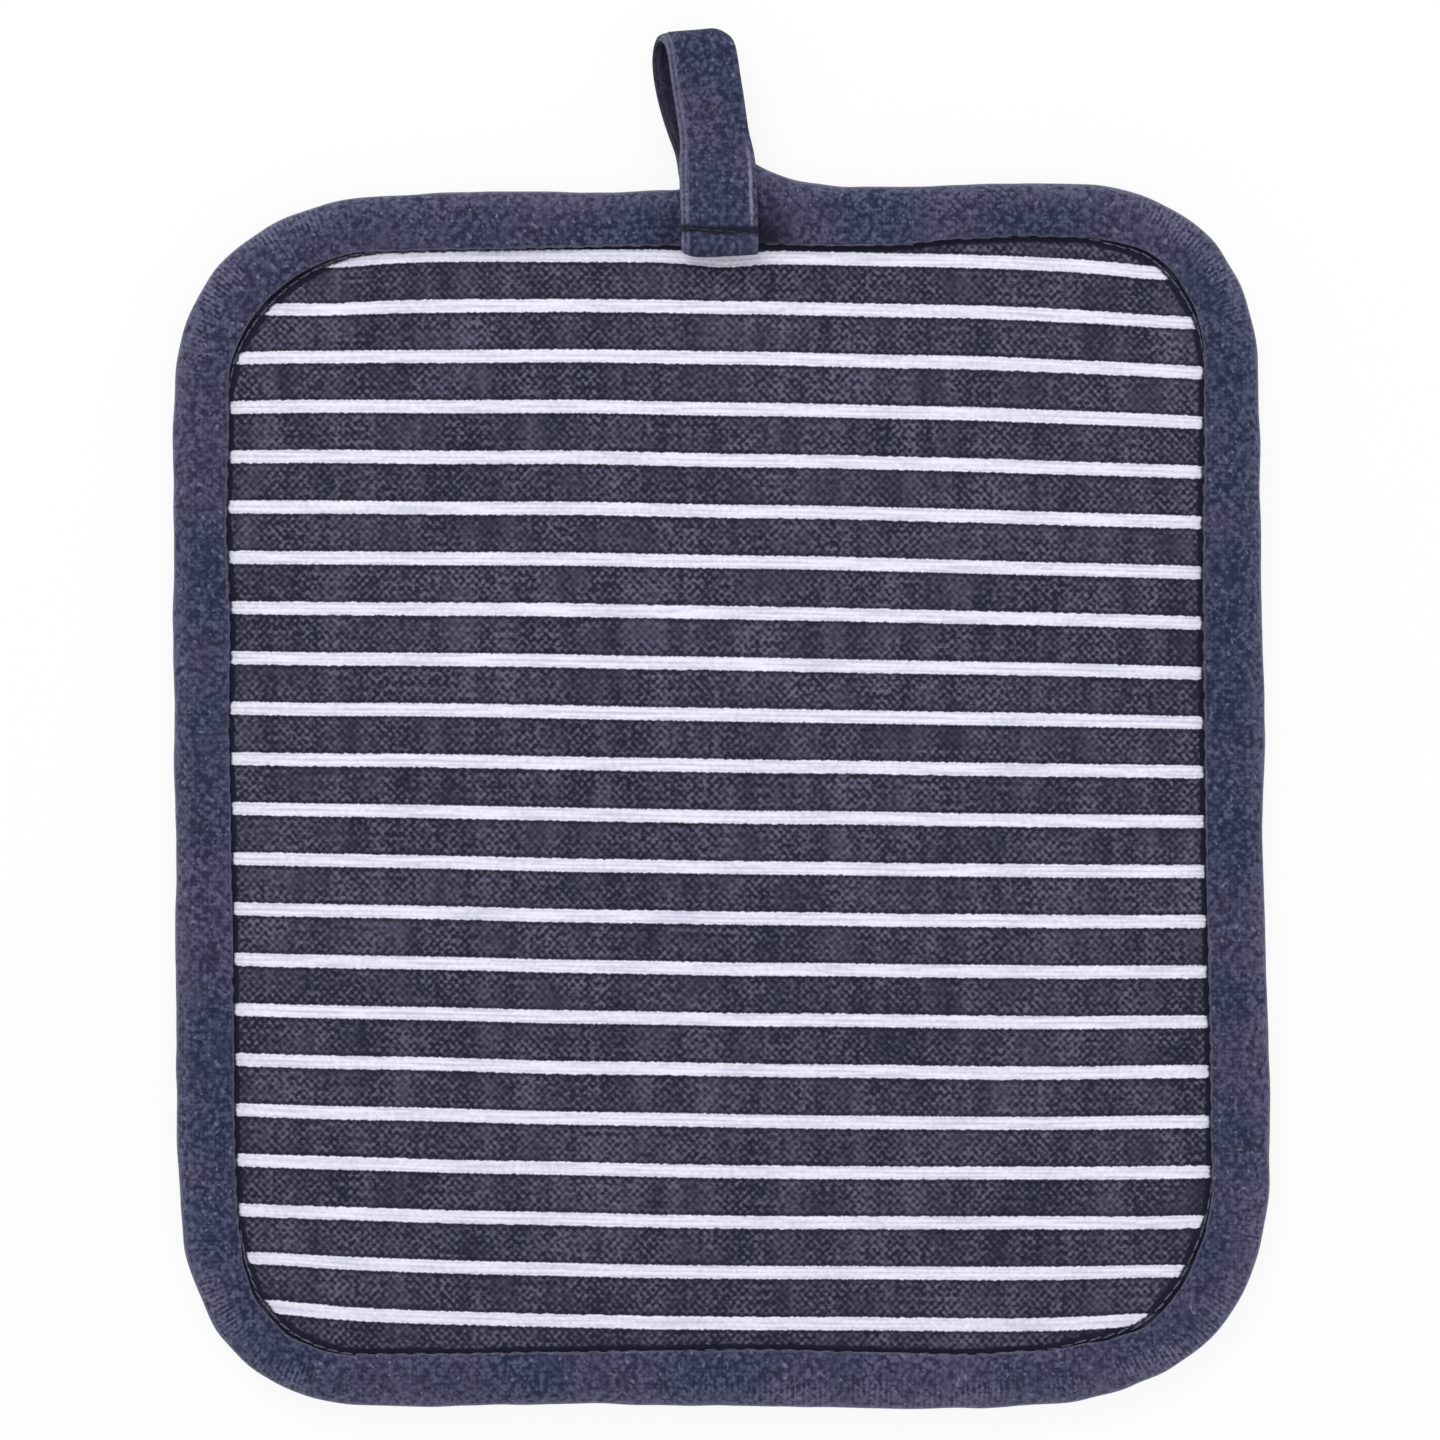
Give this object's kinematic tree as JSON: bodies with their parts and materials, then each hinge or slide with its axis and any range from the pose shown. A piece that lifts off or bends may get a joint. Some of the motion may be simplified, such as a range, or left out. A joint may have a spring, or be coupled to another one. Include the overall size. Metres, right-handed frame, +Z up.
{
  "type": "pot holder",
  "caption": "Padded rectangular pot holder with rounded corners, woven stripes, folded bias binding and a hinged hanging loop.",
  "frame": {"origin": "centre of the pad's underside, where it lies on a flat surface", "axes": "+Z up through the thickness to the striped front, +Y to the hanging loop, +X to the right seen from the front"},
  "size_m": [0.2, 0.2521, 0.0106],
  "materials": {
    "striped_cloth": "matt twill, navy yarn-dyed ground with woven white stripes",
    "navy_binding": "matt chambray cut on the bias",
    "wadding": "undyed needled cotton",
    "navy_thread": "matt spun thread"
  },
  "bodies": {
    "pad": {"front_panel": "striped_cloth", "upper_wadding": "wadding", "lower_wadding": "wadding", "back_panel": "striped_cloth", "edge_binding": "navy_binding", "ditch_seam_thread": "navy_thread", "back_seam_thread": "navy_thread", "loop_end": "navy_binding", "loop_tack_thread": "navy_thread"},
    "loop": {"hanging_loop": "navy_binding", "loop_edge_thread": "navy_thread"}
  },
  "joints": [
    {"name": "loop_fold", "type": "hinge", "parent": "pad", "child": "loop", "pos_m": [0, 0.11525, 0.0045], "axis": [1, 0, 0], "range_deg": [-90, 90]}
  ]
}
